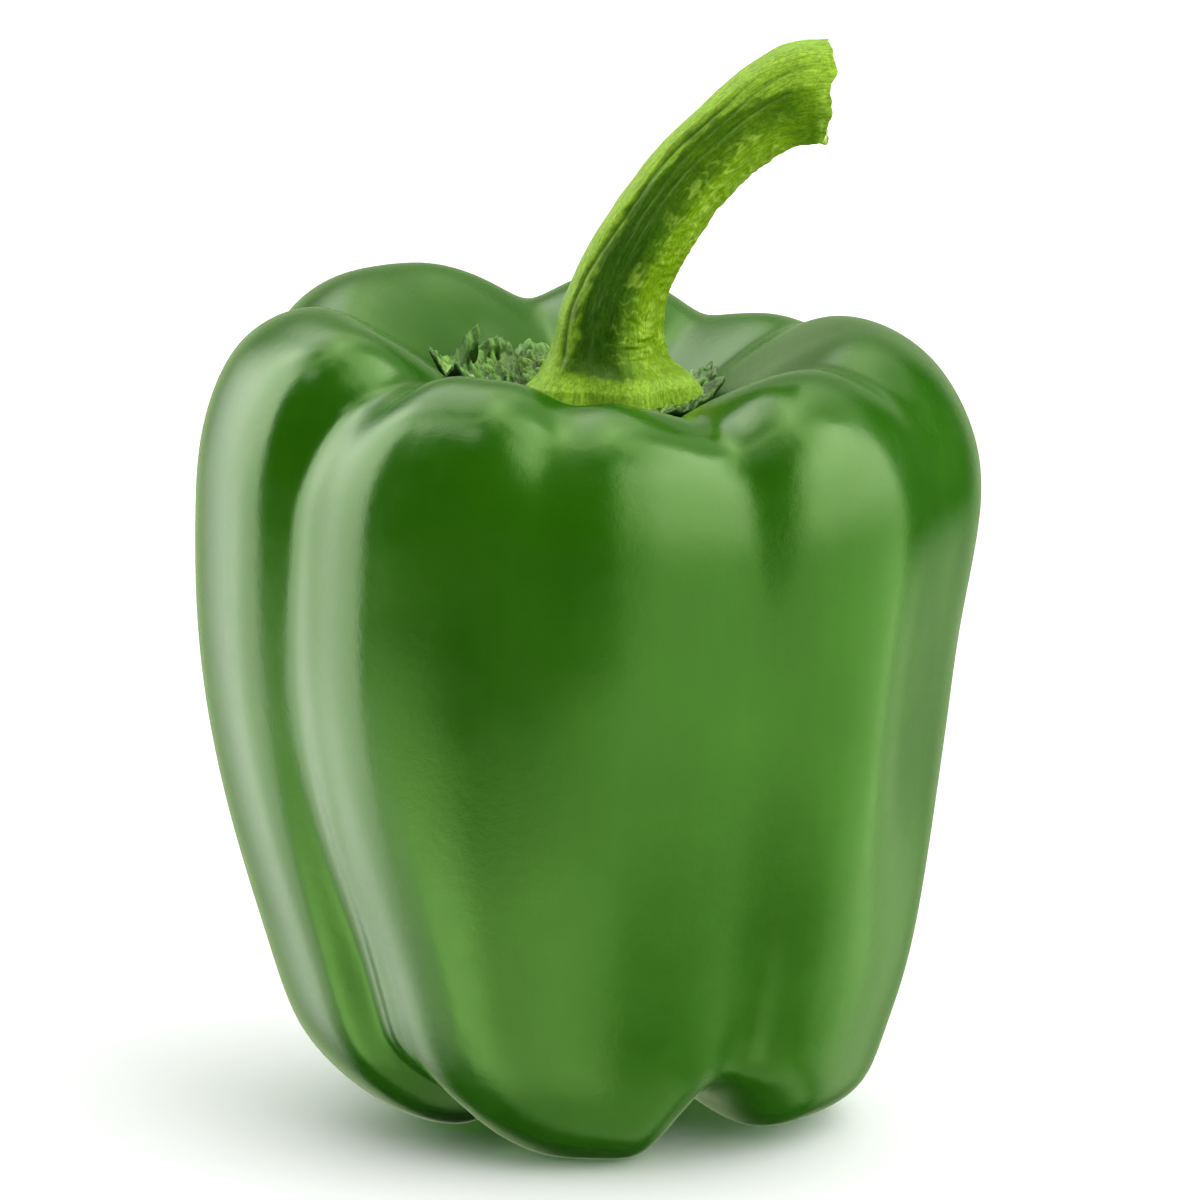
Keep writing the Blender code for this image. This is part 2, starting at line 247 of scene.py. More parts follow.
# Heights of the stem's relief, in millimetres.
FIBRE_HEIGHT = 0.10
THIN_FIBRE_HEIGHT = 0.05
LUMP_HEIGHT = 0.13
STEM_SUNK = 0.20
MARK_HEIGHT = 0.16
MARK_SUNK = 0.04
COLLAR_HEIGHT = 0.25
FACE_ROUGHNESS = 0.28
INNER_SPAN = (0.10, 0.84, 0.12)  # the cross marks: from, to and how softly, in shares of the stem
DARK_GROOVES = ((256, 31), (112, 24), (40, 20))  # angle and half width of the stem's dark grooves
CUT_BULGES = (236, 284, 112)  # angles at which the cut end reaches further
CUT_BULGE_WIDTH = 26

# The calyx's crinkles: how fast their noises change over a millimetre, and how high each stands.
BEND_SCALE = 0.35
BEND = 1.1
FOLD_SCALE = 0.42
FOLD_SHARPNESS = 2.6
FOLD_HEIGHT = 0.34
GRAIN_SCALES = (0.80, 0.95)
GRAIN_SHARPNESS = 1.6
GRAIN_HEIGHT = 0.56
FINE_SCALE = 3.2
FINE_HEIGHT = 0.22
CRINKLE_HEIGHT = 1.35
RIB_HEIGHT = 0.8
RIM_WAVE = 0.6
TIP_RAGGED = 0.45

# Linear colours. Where there are two, patches mix them.
SKIN_GREENS = ((0.0140, 0.084, 0.0004, 1), (0.019, 0.100, 0.0008, 1))
SKIN_STREAK = (0.03, 0.13, 0.003, 1)
SKIN_TINT = (0.80, 1.0, 0.62, 1)
STEM_GREENS = ((0.055, 0.140, 0.001, 1), (0.100, 0.205, 0.003, 1))
STEM_INNER = (0.145, 0.262, 0.002, 1)
STEM_DARK = (0.018, 0.072, 0.001, 1)
# Pale on the stem's -X side, which becomes its top along the bend: a painted highlight where the light
# falls. It is also the own paler colour of the foot and of the ring below the cut end.
STEM_PALE_AND_HIGHLIGHT = (0.225, 0.390, 0.028, 1)
STEM_MARK = (0.33, 0.48, 0.05, 1)
STEM_FACE = ((0.26, 0.36, 0.07, 1), (0.44, 0.46, 0.17, 1))
# Darker in the stem's creases, by their depth: painted shade.
STEM_CREASE_SHADE = (0.020, 0.075, 0.002, 1)
STEM_TINT = (0.9, 1.0, 0.3, 1)
# The calyx darker in its folds and paler on its crests, by crinkle height: painted shade and painted
# highlight.
CALYX_FOLD_SHADE = ((0.002, 0.017, 0.001, 1), (0.008, 0.036, 0.003, 1))
CALYX_CREST_HIGHLIGHT = ((0.075, 0.225, 0.030, 1), (0.240, 0.430, 0.080, 1))
CALYX_TIP = (0.14, 0.30, 0.10, 1)
CALYX_RIB = (0.20, 0.37, 0.03, 1)
CALYX_TINT = (0.85, 1.0, 0.6, 1)
FLOOR_GREYS = ((0.93, 0.93, 0.93, 1), (0.96, 0.96, 0.96, 1))
# Roughness of the smoothest and of the roughest spots, and the height of the grain that is only shading.
SKIN_ROUGHNESS = (0.17, 0.23)
STEM_ROUGHNESS = (0.36, 0.52)
CALYX_ROUGHNESS = (0.30, 0.48)
FLOOR_ROUGHNESS = (0.8, 0.9)
SKIN_GRAIN = 0.034 * MM
STEM_GRAIN = 0.10 * MM
CALYX_GRAIN = 0.12 * MM
# A noise runs from 0 to 1. A ramp over the narrower ranges gives clearer patches.
WIDE = (0.2, 0.8)
MIDDLE = (0.3, 0.7)
NARROW = (0.35, 0.65)

FLOOR_REACH = 4.0
FLOOR_DROP = 0.05 * MM  # below the feet, so that the two don't flicker


class Nodes:
    """Short calls that add nodes to a tree. A value may be a number, a colour or another node's socket."""

    def __init__(self, tree):
        self.tree = tree

    def add(self, kind, settings=None, inputs=None):
        node = self.tree.nodes.new(kind)
        for key, value in (settings or {}).items():
            setattr(node, key, value)
        for key, value in (inputs or {}).items():
            self.put(node.inputs[key], value)
        return node

    def put(self, socket, value):
        if isinstance(value, bpy.types.NodeSocket):
            self.tree.links.new(value, socket)
        else:
            socket.default_value = value

    def math(self, operation, *values):
        node = self.add("ShaderNodeMath", {"operation": operation})
        for socket, value in zip(node.inputs, values):
            self.put(socket, value)
        return node.outputs[0]

    def ramp(self, value, low, high, start=0.0, end=1.0):
        """Start below low, end above high, and a smooth step between them."""
        node = self.add("ShaderNodeMapRange", {"interpolation_type": "SMOOTHSTEP"}, {"Value": value})
        for key, number in (("From Min", low), ("From Max", high), ("To Min", start), ("To Max", end)):
            self.put(node.inputs[key], number)
        return node.outputs[0]

    def mix(self, share, first, second):
        """Two colours mixed."""
        node = self.add("ShaderNodeMix", {"data_type": "RGBA"})
        self.put(node.inputs["Factor"], share)
        self.put(node.inputs[6], first)
        self.put(node.inputs[7], second)
        return node.outputs[2]

    def noise(self, vector, scale, detail=2.0, roughness=0.5):
        """A noise's grey value. Scale is in changes over a metre, roughness that of the noise's detail."""
        inputs = {"Vector": vector, "Scale": scale, "Detail": detail, "Roughness": roughness}
        return self.add("ShaderNodeTexNoise", None, inputs).outputs["Fac"]

    def attribute(self, name):
        """A named value of the mesh."""
        return self.add("ShaderNodeAttribute", {"attribute_name": name}).outputs

    def stretched(self, vector, scale):
        """A vector with each axis scaled."""
        node = self.add("ShaderNodeVectorMath", {"operation": "MULTIPLY"})
        self.put(node.inputs[0], vector)
        self.put(node.inputs[1], scale)
        return node.outputs[0]


def new_material(name):
    """A material, its node helper, its Principled shader and its object coordinates."""
    made = bpy.data.materials.new(name)
    made.use_nodes = True
    nodes = Nodes(made.node_tree)
    shader = made.node_tree.nodes["Principled BSDF"]
    place = nodes.add("ShaderNodeTexCoord").outputs["Object"]
    return made, nodes, shader, place


def bump(nodes, shader, height, distance, strength):
    """Fine grain in the shading only."""
    inputs = {"Height": height, "Distance": distance, "Strength": strength}
    node = nodes.add("ShaderNodeBump", None, inputs)
    nodes.put(shader.inputs["Normal"], node.outputs["Normal"])


def skin_material():
    """Waxy deep green with a faint mottle, thin upright streaks and pores."""
    made, nodes, shader, place = new_material("pepper_skin")
    mottle = nodes.noise(place, scale=55, detail=3, roughness=0.55)
    streak = nodes.noise(nodes.stretched(place, (1, 1, 0.12)), scale=420)
    colour = nodes.mix(nodes.ramp(mottle, *MIDDLE), *SKIN_GREENS)
    streaked = nodes.math("MULTIPLY", nodes.ramp(streak, 0.45, 0.75), 0.12)
    colour = nodes.mix(streaked, colour, SKIN_STREAK)
    nodes.put(shader.inputs["Base Color"], colour)
    shader.inputs["Specular Tint"].default_value = SKIN_TINT
    shader.inputs["IOR"].default_value = 1.5
    uneven = nodes.noise(place, scale=260, detail=3)
    nodes.put(shader.inputs["Roughness"], nodes.ramp(uneven, *MIDDLE, *SKIN_ROUGHNESS))
    fine = nodes.noise(place, scale=4200, roughness=0.6)
    pores = nodes.noise(place, scale=900)
    height = nodes.math("ADD", nodes.math("MULTIPLY", fine, 0.5), pores)
    bump(nodes, shader, height, SKIN_GRAIN, 0.5)
    return made


def stem_material():
    """Fibrous yellow-green, coloured by the shares that stem_looks gives every corner, with a painted
    highlight on its lit side and painted shade in its creases.
    """
    made, nodes, shader, place = new_material("pepper_stem")
    share = {name: nodes.attribute(name)["Fac"] for name in STEM_LOOKS}
    grain = nodes.noise(place, scale=2600, detail=3, roughness=0.7)
    patches = nodes.noise(place, scale=420, detail=3, roughness=0.6)
    threads = nodes.noise(nodes.attribute("fibre")["Vector"], scale=3.2, detail=4, roughness=0.65)
    colour = nodes.mix(nodes.ramp(patches, *MIDDLE), *STEM_GREENS)
    colour = nodes.mix(share["inner"], colour, STEM_INNER)
    colour = nodes.mix(share["dark"], colour, STEM_DARK)
    # Painted highlight on the lit side, mixed with the paler foot and cut ring.
    colour = nodes.mix(share["pale"], colour, STEM_PALE_AND_HIGHLIGHT)
    colour = nodes.mix(nodes.math("MULTIPLY", share["mark"], 0.55), colour, STEM_MARK)
    face = nodes.mix(nodes.ramp(patches, *NARROW), *STEM_FACE)
    colour = nodes.mix(nodes.ramp(share["cut"], 0.02, 0.12), colour, face)
    # Painted shade in the creases, as deep as they are.
    colour = nodes.mix(nodes.math("MULTIPLY", share["crease_shade"], 0.75), colour, STEM_CREASE_SHADE)
    grainy = nodes.ramp(grain, *MIDDLE, 0.78, 1.24)
    threaded = nodes.ramp(threads, *MIDDLE, 0.72, 1.30)
    tone = nodes.add("ShaderNodeVectorMath", {"operation": "MULTIPLY"})
    nodes.put(tone.inputs[0], colour)
    nodes.put(tone.inputs[1], nodes.math("MULTIPLY", grainy, threaded))
    nodes.put(shader.inputs["Base Color"], tone.outputs[0])
    shader.inputs["Specular Tint"].default_value = STEM_TINT
    shader.inputs["Specular IOR Level"].default_value = 0.25
    nodes.put(shader.inputs["Roughness"], nodes.ramp(grain, *WIDE, *STEM_ROUGHNESS))
    height = nodes.math("ADD", nodes.math("MULTIPLY", grain, 0.5), threads)
    bump(nodes, shader, height, STEM_GRAIN, 0.7)
    return made


def calyx_material():
    """Painted shade in the folds and painted highlight on the crests, by crinkle height; the ribs and the
    torn tips pale in their own colour.
    """
    made, nodes, shader, place = new_material("pepper_calyx")
    share = {name: nodes.attribute(name)["Fac"] for name in CALYX_LOOKS}
    grain = nodes.noise(place, scale=2300, detail=3, roughness=0.65)
    patches = nodes.noise(place, scale=330, detail=3, roughness=0.6)
    # Crinkle height picks painted shade in the folds and painted highlight on the crests.
    rise = nodes.math("ADD", share["crest"], nodes.ramp(grain, 0.25, 0.75, -0.20, 0.20))
    low = nodes.mix(nodes.ramp(patches, *NARROW), *CALYX_FOLD_SHADE)
    high = nodes.mix(nodes.ramp(patches, *NARROW), *CALYX_CREST_HIGHLIGHT)
    colour = nodes.mix(nodes.ramp(rise, 0.10, 0.78), low, high)
    colour = nodes.mix(nodes.math("MULTIPLY", share["tip"], 0.25), colour, CALYX_TIP)
    colour = nodes.mix(nodes.ramp(share["rib"], 0.15, 0.75), colour, CALYX_RIB)
    nodes.put(shader.inputs["Base Color"], colour)
    nodes.put(shader.inputs["Roughness"], nodes.ramp(grain, *WIDE, *CALYX_ROUGHNESS))
    shader.inputs["Specular Tint"].default_value = CALYX_TINT
    bump(nodes, shader, grain, CALYX_GRAIN, 0.7)
    return made


def floor_material():
    made, nodes, shader, place = new_material("pale_floor")
    grain = nodes.noise(place, scale=40, detail=3)
    nodes.put(shader.inputs["Base Color"], nodes.mix(grain, *FLOOR_GREYS))
    nodes.put(shader.inputs["Roughness"], nodes.ramp(grain, *WIDE, *FLOOR_ROUGHNESS))
    shader.inputs["Specular IOR Level"].default_value = 0.0
    return made


def fine_copy(node, name, levels):
    """A node's mesh with its triangles paired up again and its faces split smoothly, as a new object."""
    work = bmesh.new()
    work.from_mesh(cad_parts[node].data)
    bmesh.ops.remove_doubles(work, verts=work.verts, dist=WELD)
    bmesh.ops.join_triangles(
        work, faces=work.faces, angle_face_threshold=math.pi, angle_shape_threshold=math.pi
    )
    mesh = bpy.data.meshes.new(name)
    work.to_mesh(mesh)
    work.free()
    obj = bpy.data.objects.new(name, mesh)
    bpy.context.scene.collection.objects.link(obj)
    split = obj.modifiers.new("split", "SUBSURF")
    split.levels = split.render_levels = levels
    split.subdivision_type = "CATMULL_CLARK"
    graph = bpy.context.evaluated_depsgraph_get()
    smooth = bpy.data.meshes.new_from_object(obj.evaluated_get(graph))
    obj.modifiers.clear()
    obj.data = smooth
    bpy.data.meshes.remove(mesh)
    smooth.materials.clear()
    smooth.shade_smooth()
    return obj


def search_tree(node):
    work = bmesh.new()
    work.from_mesh(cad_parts[node].data)
    tree = BVHTree.FromBMesh(work)
    work.free()
    return tree


def eased(share):
    share = min(max(share, 0.0), 1.0)
    return share * share * (3 - 2 * share)


def window(value, low, high, soft):
    """1 between low and high, 0 outside, with eased ends."""
    return eased((value - low) / soft + 0.5) * eased((high - value) / soft + 0.5)


def angle_between(first, second):
    return (first - second + 180) % 360 - 180


def stem_section(share):
    """Middle, half width, lean in radians and part of the flare of the stem's section, on a smooth curve."""
    place = share * (len(STEM_SECTIONS) - 1)
    start = min(int(place), len(STEM_SECTIONS) - 2)
    rows = np.array(STEM_SECTIONS, float)
    rows = np.vstack([2 * rows[0] - rows[1], rows, 2 * rows[-1] - rows[-2]])
    a, b, c, d = rows[start:start + 4]
    u = place - start
    mixed = 2 * b + (c - a) * u + (2 * a - 5 * b + 4 * c - d) * u**2 + (3 * b - a - 3 * c + d) * u**3
    x, z, half, lean = 0.5 * mixed
    return x, z, half, math.radians(lean), 1 - eased(share / FLARE_LENGTH)


def by_height(values, z):
    """Values at the groove heights, eased from one to the next."""
    found = values[0]
    for low, high, start, end in zip(GROOVE_HEIGHTS, GROOVE_HEIGHTS[1:], values, values[1:]):
        found += (end - start) * eased((z - low) / (high - low))
    return found


def narrow_grooves(skin):
    """Takes each groove out and puts it back as seen. The skin then lies within 1.6 mm of the solid."""
    for vertex in skin.data.vertices:
        x, y, z = vertex.co / MM
        x -= AXIS[0]
        y -= AXIS[1]
        angle = math.degrees(math.atan2(y, x))
        move = 0.0
        for groove in GROOVES:
            half_width = groove["half_width"]
            away = angle_between(angle, by_height(groove["angles"], z))
            if abs(away) > half_width + GROOVE_MARGIN:
                continue
            seen_away = angle_between(angle, by_height(groove["seen_angles"], z))
            seen_away /= groove["seen_half_widths"][0 if seen_away < 0 else 1]
            before = max(0.0, 1 - math.hypot(away / half_width, groove["rounding"])) ** 2
            after = max(0.0, 1 - math.hypot(seen_away, groove["seen_rounding"])) ** 2
            move += by_height(groove["depths"], z) * (before - groove["seen_share"] * after)
        if move:
            radius = math.hypot(x, y)
            outside = eased((radius - GROOVE_RADII[0]) / (GROOVE_RADII[1] - GROOVE_RADII[0]))
            outside *= window(z, *GROOVE_SPAN, GROOVE_SPAN_SOFT)
            vertex.co += Vector((x, y, 0)) * (move * outside * MM / radius)


def fill_flank(skin):
    """Fills the slight hollow low on the right flank, which the photograph shows smooth and full."""
    tree = search_tree("fruit")
    heights = np.arange(*FLANK_HEIGHTS)
    angles = np.arange(*FLANK_ANGLES)
    turns = np.radians(angles)
    ways = np.stack([np.cos(turns), np.sin(turns)], axis=-1)
    fills = []
    for height in heights:
        points = []
        for way in ways:
            inward = Vector((-way[0], -way[1], 0))
            start = Vector((AXIS[0], AXIS[1], height)) * MM - inward * ABOVE
            hit = tree.ray_cast(start, inward)[0]
            points.append((hit.x / MM - AXIS[0], hit.y / MM - AXIS[1]))
        points = np.array(points)
        radii = np.linalg.norm(points, axis=1)
        full = radii.copy()
        for first in range(len(angles) - 2):
            for last in range(first + 2, len(angles)):
                side = points[last] - points[first]
                across = np.array((side[1], -side[0]))
                between = slice(first + 1, last)
                chord = across @ points[first] / (ways[between] @ across)
                full[between] = np.maximum(full[between], chord)
        fills.append((full - radii) * window(height, *FLANK_SPAN))
    fills = np.array(fills)
    for vertex in skin.data.vertices:
        x, y, z = vertex.co / MM
        x -= AXIS[0]
        y -= AXIS[1]
        angle = math.degrees(math.atan2(y, x)) % 360
        row = (z - heights[0]) / (heights[1] - heights[0])
        column = ((angle if angle > 180 else angle + 360) - angles[0]) / (angles[1] - angles[0])
        radius = math.hypot(x, y)
        if not (0 <= row < len(heights) - 1 and 0 <= column < len(angles) - 1 and radius > FLANK_RADIUS):
            continue
        low, left = int(row), int(column)
        up, right = row - low, column - left
        near = fills[low, left] * (1 - right) + fills[low, left + 1] * right
        far = fills[low + 1, left] * (1 - right) + fills[low + 1, left + 1] * right
        move = FLANK_FILL * (near * (1 - up) + far * up)
        vertex.co += Vector((x, y, 0)) * (move * MM / radius)


def round_noise(angle, scale, height):
    """Smooth noise round a circle, which closes on itself."""
    turn = math.radians(angle)
    return noise.noise(Vector((scale * math.cos(turn), scale * math.sin(turn), height)))


def stem_noise(kind, angle, share, shift=0.0):
    """One of the stem's noises, at an angle and a share of its length."""
    scale, along, start = kind
    return round_noise(angle, scale, along * share + start + shift)


def crease_depth(angle, share):
    """Depth of the creases along the stem, in millimetres."""
    wander = stem_noise(WANDER, angle, share)
    found = 0.0
    for start, end, low, high, depth, half_width in CREASES:
        middle = start + (end - start) * (share - low) / (high - low) + 5 * wander
        away = angle_between(angle, middle) / half_width
        found = max(found, depth * math.exp(-away * away) * window(share, low, high, 0.10))
    return found


def stem_relief(angle, share):
    """Height in millimetres of the fibres, creases and cross marks above the solid's side, never over 0."""
    x = math.cos(math.radians(angle))
    fibres = FIBRE_HEIGHT * stem_noise(FIBRES, angle, share)
    thin_fibres = THIN_FIBRE_HEIGHT * stem_noise(THIN_FIBRES, angle, share)
    lumps = LUMP_HEIGHT * stem_noise(LUMPS, angle, share)
    marks = stem_noise(MARKS, angle, share, MARK_WANDER * stem_noise(WANDER, angle, share))
    inner = eased((x - 0.05) / 0.4) * window(share, *INNER_SPAN)
    height = fibres + thin_fibres + lumps - STEM_SUNK
    height += inner * (MARK_HEIGHT * marks - MARK_SUNK)
    height -= crease_depth(angle, share)
    collar = eased((share - 0.93) / 0.05)
    height += collar * COLLAR_HEIGHT * stem_noise(COLLAR_LUMPS, angle, share)
    return min(height, 0.0)


def cut_offset(angle):
    """The ragged line of the cut end, in millimetres along the stem."""
    turn = math.radians(angle)
    waves = math.sin(2 * turn + 0.6) + 0.6 * math.sin(5 * turn) + 0.4 * math.sin(9 * turn + 1)
    ragged = round_noise(angle, 6, 3.3)
    bulge = 0.0
    for middle in CUT_BULGES:
        bulge += math.exp(-((angle_between(angle, middle) / CUT_BULGE_WIDTH) ** 2))
    return 0.5 * CUT_ROUGHNESS * waves + 0.22 * ragged + 0.75 * bulge - 0.1


def stem_point(angle, share, inward=1.0, outward=0.0):
    """A point of the stem's side, or of a section: inward scales it, outward moves it along the stem."""
    x, z, half, lean, flare = stem_section(share)
    ridge = RIDGE_HEIGHT + (FLARE_RIDGE_HEIGHT - RIDGE_HEIGHT) * flare
    radius = half * (1 + ridge * math.cos(math.radians(5 * (angle - FIRST_RIDGE))))
    if share < FOOT_LOBE_END:
        for middle, half_width, reach in FOOT_LOBES:
            away = angle_between(angle, middle) / half_width
            radius += reach * math.exp(-away * away) * (1 - share / FOOT_LOBE_END) ** 1.6
    radius = inward * (radius + stem_relief(angle, share))
    across = radius * math.cos(math.radians(angle))
    deep = radius * math.sin(math.radians(angle))
    rough = cut_offset(angle) * inward**2 * eased((share - CUT_START) / (1 - CUT_START))
    rough += outward
    x += across * math.cos(lean) + rough * math.sin(lean)
    return Vector((x, deep + STEM_Y, z - across * math.sin(lean) + rough * math.cos(lean))) * MM


def stem_looks(angle, share, inward):
    """The stem's look at a place, one share for each of STEM_LOOKS, and where its threads lie."""
    turn = math.radians(angle)
    x, y = math.cos(turn), math.sin(turn)
    wander = 0.6 * stem_noise(BLOTCHES, angle, share) + 0.4 * stem_noise(SPECKS, angle, share)
    dark = 0.0
    for middle, half_width in DARK_GROOVES:
        away = abs(angle_between(angle, middle + 8 * wander)) / half_width
        dark = max(dark, 1 - eased((away - 0.55) / 0.75))
    low_end = window(share + 0.03 * wander, 0.085, 0.90, 0.10)
    dark *= low_end * (1 - 0.55 * eased((share - 0.45) / 0.3))
    inner = eased((x + 0.25 * wander - 0.18) / 0.45) * window(share, 0.04, 0.86, 0.10)
    reach = 0.72 - 0.42 * eased((share - 0.70) / 0.18)
    # Paler towards -X, the stem's left, which turns into its top along the bend: a painted highlight on the
    # lit side.
    pale = eased((-x + 0.30 * wander - reach + 0.16) / 0.26)
    foot = 1 - eased((share + 0.03 * wander - 0.075) / 0.05)
    collar = eased((share + 0.02 * wander - 0.935) / 0.05)
    # The foot and the ring below the cut end are paler in their own colour. The ring's extra paleness on the
    # -X side is painted highlight.
    pale = max(pale, foot, collar * (0.75 - 0.25 * x))
    # Painted shade in the creases, from their depth.
    crease_shade = crease_depth(angle, share) / 0.2
    lines = stem_noise(MARKS, angle, share, MARK_WANDER * wander)
    mark = eased((lines - 0.05) / 0.4) * eased((x + 0.1) / 0.4) * window(share, *INNER_SPAN)
    look = (dark * (1 - pale), inner * (1 - 0.6 * pale), pale, 1 - inward, crease_shade, mark)
    return look, (9 * x, 9 * y, 12 * share)


def stem_piece():
    """The stem as its solid has it, with fibres, creases, cross marks and a ragged cut end."""
    work = bmesh.new()
    looks = []
    places = []
    calyx = search_tree("calyx")
    angles = [360 * i / STEM_SEGMENTS for i in range(STEM_SEGMENTS)]

    def add_ring(points, share, inward=1.0):
        for angle in angles:
            look, place = stem_looks(angle, share, inward)
            looks.append(look)
            places.extend(place)
        return [work.verts.new(point) for point in points]

    def on_calyx(point):
        hit = calyx.ray_cast(Vector((point.x, point.y, ABOVE)), DOWN)[0]
        return Vector((point.x, point.y, hit.z + CALYX_GAP * MM))

    foot = [on_calyx(stem_point(angle, 0.0)) for angle in angles]
    middle = on_calyx(Vector((STEM_SECTIONS[0][0], STEM_Y, 0)) * MM)
    rings = []
    for inward in UNDER_RINGS:
        rings.append(add_ring([on_calyx(middle.lerp(point, inward)) for point in foot], 0.0))
    low = [stem_point(angle, FOOT_SHARE) for angle in angles]
    for i in range(STEM_RINGS + 1):
        share = i / STEM_RINGS
        points = [stem_point(angle, share) for angle in angles]
        if share < FOOT_SHARE:
            points = [first.lerp(last, share / FOOT_SHARE) for first, last in zip(foot, low)]
        rings.append(add_ring(points, share))
    for i in range(1, CUT_RINGS):
        inward = 1 - i / CUT_RINGS
        sunk = -CUT_HOLLOW * (1 - inward)
        points = []
        for angle in angles:
            rough = min(round_noise(angle, 9 * inward, 7), 0.0)
            points.append(stem_point(angle, 1.0, inward, sunk + FACE_ROUGHNESS * rough))
        rings.append(add_ring(points, 1.0, inward))
    for lower, upper in zip(rings, rings[1:]):
        for i, j in zip(range(STEM_SEGMENTS), list(range(1, STEM_SEGMENTS)) + [0]):
            work.faces.new((lower[i], lower[j], upper[j], upper[i]))
    work.faces.new(list(reversed(rings[0])))
    work.faces.new(rings[-1])
    stem = as_object("stem_ridged", work, looks, STEM_LOOKS)
    stem.data.attributes.new("fibre", "FLOAT_VECTOR", "POINT").data.foreach_set("vector", places)
    return stem


def as_object(name, work, looks, names):
    """An object from a bmesh, with one named value per corner for each of its looks."""
    mesh = bpy.data.meshes.new(name)
    work.normal_update()
    work.to_mesh(mesh)
    work.free()
    for index, look in enumerate(names):
        layer = mesh.attributes.new(look, "FLOAT", "POINT")
        layer.data.foreach_set("value", [values[index] for values in looks])
    mesh.shade_smooth()
    obj = bpy.data.objects.new(name, mesh)
    bpy.context.scene.collection.objects.link(obj)
    return obj


def calyx_tip(angle):
    """Reach past the rim, lift and pull of the torn tips at this angle."""
    ragged = 1 + TIP_RAGGED * round_noise(angle, 13, 4.0)
    found = np.zeros(3)
    for middle, half_width, past, lift, pull in TIPS:
        away = abs(angle_between(angle, middle)) / half_width
        found = np.maximum(found, np.array((past, lift, pull)) * max(0.0, 1 - away**2.4))
    return found * ragged


def crinkle(x, y):
    """Height of the calyx's folds and grains at x and y in millimetres, from 0 to about 1."""
    bend_x = BEND * noise.noise(Vector((BEND_SCALE * x, BEND_SCALE * y, 2.0)))
    bend_y = BEND * noise.noise(Vector((BEND_SCALE * x, BEND_SCALE * y, 8.0)))
    fold_noise = noise.noise(Vector((FOLD_SCALE * x + bend_x, FOLD_SCALE * y + bend_y, 6.0)))
    folds = 1 - FOLD_SHARPNESS * abs(fold_noise)
    place = Vector((GRAIN_SCALES[0] * x + bend_x, GRAIN_SCALES[1] * y + bend_y, 1.0))
    distances = noise.voronoi(place, distance_metric="DISTANCE")[0]
    grains = eased(GRAIN_SHARPNESS * (distances[1] - distances[0]))
    fine = noise.noise(Vector((FINE_SCALE * x, FINE_SCALE * y, 3.0)))
    return max(0.0, FOLD_HEIGHT * max(folds, 0.0) + GRAIN_HEIGHT * grains + FINE_HEIGHT * fine)


def rib_share(x, y, from_stem):
    """Height of the highest rib at a place, from the stem's middle outwards."""
    around = math.degrees(math.atan2(y, x - STEM_SECTIONS[0][0]))
    found = 0.0
    for middle, height, width, length in RIBS:
        away = math.radians(angle_between(around, middle)) * from_stem / width
        fade = math.exp(-max(0.0, from_stem - CALYX_CLEAR[0]) / length)
        found = max(found, height * math.exp(-away * away) * fade)
    return found


def calyx_piece():
    """The mat in the hollow, with folds, grains, ribs from the stem and torn tips that curl up."""
    skin = search_tree("fruit")
    work = bmesh.new()
    looks = []

    def point_at(angle, share, top):
        past, lift, pull = calyx_tip(angle)
        outer = eased((share - 0.66) / 0.34)
        turn = math.radians(angle)
        wavy = RIM_WAVE * round_noise(angle, 7, 5.0)
        radius = share * (CALYX_REACH + outer * (past + wavy)) - pull * eased((share - 0.78) / 0.22)
        x = CALYX_MIDDLE[0] + radius * math.cos(turn)
        y = CALYX_MIDDLE[1] + radius * math.sin(turn)
        base = skin.ray_cast(Vector((x * MM, y * MM, ABOVE)), DOWN)[0].z / MM + CALYX_GAP
        curl = lift * max(0.0, (share - 0.70) / 0.30) ** 1.4
        if not top:
            return (x, y, base + curl), (0.0, 0.0, 0.0)
        from_stem = math.hypot(x - STEM_SECTIONS[0][0], y)
        clear = eased((from_stem - CALYX_CLEAR[0]) / (CALYX_CLEAR[1] - CALYX_CLEAR[0]))
        rib = rib_share(x, y, from_stem)
        rise = crinkle(x, y)
        thickness = CALYX_THICKNESS + (CALYX_EDGE - CALYX_THICKNESS) * eased((share - 0.75) / 0.25)
        edge = 1 - 0.6 * eased((share - 0.90) / 0.10)
        relief = clear * edge * (CRINKLE_HEIGHT * rise + RIB_HEIGHT * rib)
        height = base + curl + thickness + relief
        # The crinkle height goes to the look crest, which paints shade in the folds and highlight on the
        # crests.
        return (x, y, height), (rise, clear * rib, outer * min(1.0, 0.4 * curl))

    angles = [360 * i / CALYX_SEGMENTS for i in range(CALYX_SEGMENTS)]
    steps = [(i / CALYX_UNDER_RINGS, False) for i in range(1, CALYX_UNDER_RINGS + 1)]
    steps += [(i / CALYX_RINGS, True) for i in range(CALYX_RINGS, 2, -1)]
    rings = []
    for share, top in steps:
        ring = []
        for angle in angles:
            place, look = point_at(angle, share, top)
            ring.append(work.verts.new(Vector(place) * MM))
            looks.append(look)
        rings.append(ring)
    for lower, upper in zip(rings, rings[1:]):
        for i, j in zip(range(CALYX_SEGMENTS), list(range(1, CALYX_SEGMENTS)) + [0]):
            work.faces.new((lower[i], lower[j], upper[j], upper[i]))
    work.faces.new(list(reversed(rings[0])))
    work.faces.new(rings[-1])
    return as_object("calyx_crinkled", work, looks, CALYX_LOOKS)


def finish_piece(obj, node, material):
    obj.data.materials.append(material)
    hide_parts(node)
    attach(obj, "root")


